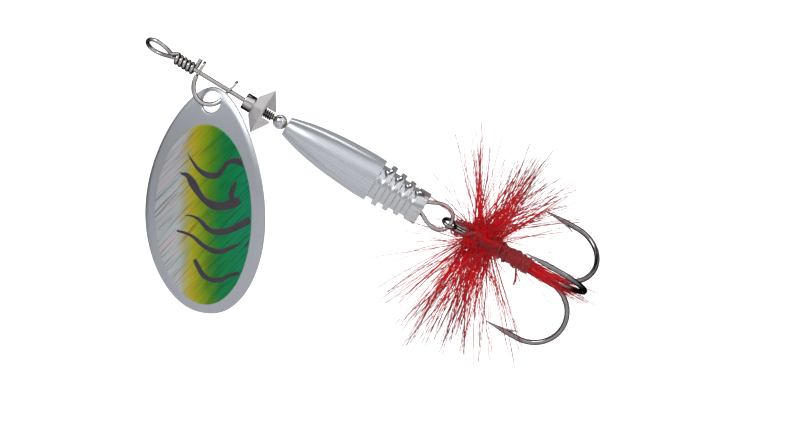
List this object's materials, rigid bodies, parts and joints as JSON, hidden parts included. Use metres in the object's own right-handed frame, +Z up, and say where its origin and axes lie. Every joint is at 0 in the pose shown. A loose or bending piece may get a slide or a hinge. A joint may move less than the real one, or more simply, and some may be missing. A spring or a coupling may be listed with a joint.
{
  "type": "inline spinner",
  "caption": "Fishing spinner with an egg-shaped blade on a clevis, folded hub, bead, ribbed torpedo body and a feather-dressed treble hook on one wire shaft.",
  "frame": {"origin": "centre of the line eye at the front of the wire", "axes": "+Z up, +X from the line eye towards the hook, with the shaft sloping down 31.5 degrees towards +X as it hangs, +Y square to the shaft and the blade's hanging plane"},
  "size_m": [0.0688, 0.0189, 0.0462],
  "materials": {
    "wire": "bright drawn stainless wire",
    "clevis": "polished nickel",
    "blade": "fine brushed silver plate",
    "foil": "printed foil, pearl to yellow to green with dark stripes, lacquered",
    "hub_collar": "polished nickel",
    "hub_sheet": "polished sheet",
    "spring": "dark oiled spring wire",
    "bead": "mirror",
    "body": "lengthwise brushed, turned ribs",
    "liner": "drawn tube",
    "hook": "black nickel",
    "braze": "dulled braze",
    "thread": "waxed red thread",
    "hackle": "red dyed fibres, pale at the tips"
  },
  "bodies": {
    "wire": {"shaft_wire": "wire"},
    "clevis": {"clevis": "clevis"},
    "blade": {"blade": "blade", "blade_foil": "foil"},
    "hub": {"hub_collar": "hub_collar", "hub_front_cup": "hub_sheet", "hub_rear_cup": "hub_sheet", "hub_spring": "spring"},
    "bead": {"ball_bead": "bead"},
    "body": {"body": "body", "body_liner": "liner"},
    "treble": {"double_hook": "hook", "single_hook": "hook", "hook_braze": "braze", "shank_thread": "thread", "root_thread": "thread", "hackle_collar": "hackle", "tail_fibres": "hackle", "thread_tag": "thread"}
  },
  "joints": [
    {"name": "clevis_spin", "type": "hinge", "parent": "wire", "child": "clevis", "pos_m": [0.00767, 0, -0.0047], "axis": [0.8526, 0, -0.5225], "continuous": true},
    {"name": "blade_swing", "type": "hinge", "parent": "clevis", "child": "blade", "pos_m": [0.00755, 0, -0.00797], "axis": [0, 1, 0], "range_deg": [-20, 15]},
    {"name": "hub_spin", "type": "hinge", "parent": "wire", "child": "hub", "pos_m": [0.01449, 0, -0.00888], "axis": [0.8526, 0, -0.5225], "continuous": true},
    {"name": "bead_spin", "type": "hinge", "parent": "wire", "child": "bead", "pos_m": [0.01773, 0, -0.01087], "axis": [0.8526, 0, -0.5225], "continuous": true},
    {"name": "body_spin", "type": "hinge", "parent": "wire", "child": "body", "pos_m": [0.02899, 0, -0.01776], "axis": [0.8526, 0, -0.5225], "continuous": true},
    {"name": "hook_swing", "type": "hinge", "parent": "wire", "child": "treble", "pos_m": [0.04172, 0, -0.02513], "axis": [0, 1, 0], "range_deg": [-75, 75]}
  ]
}
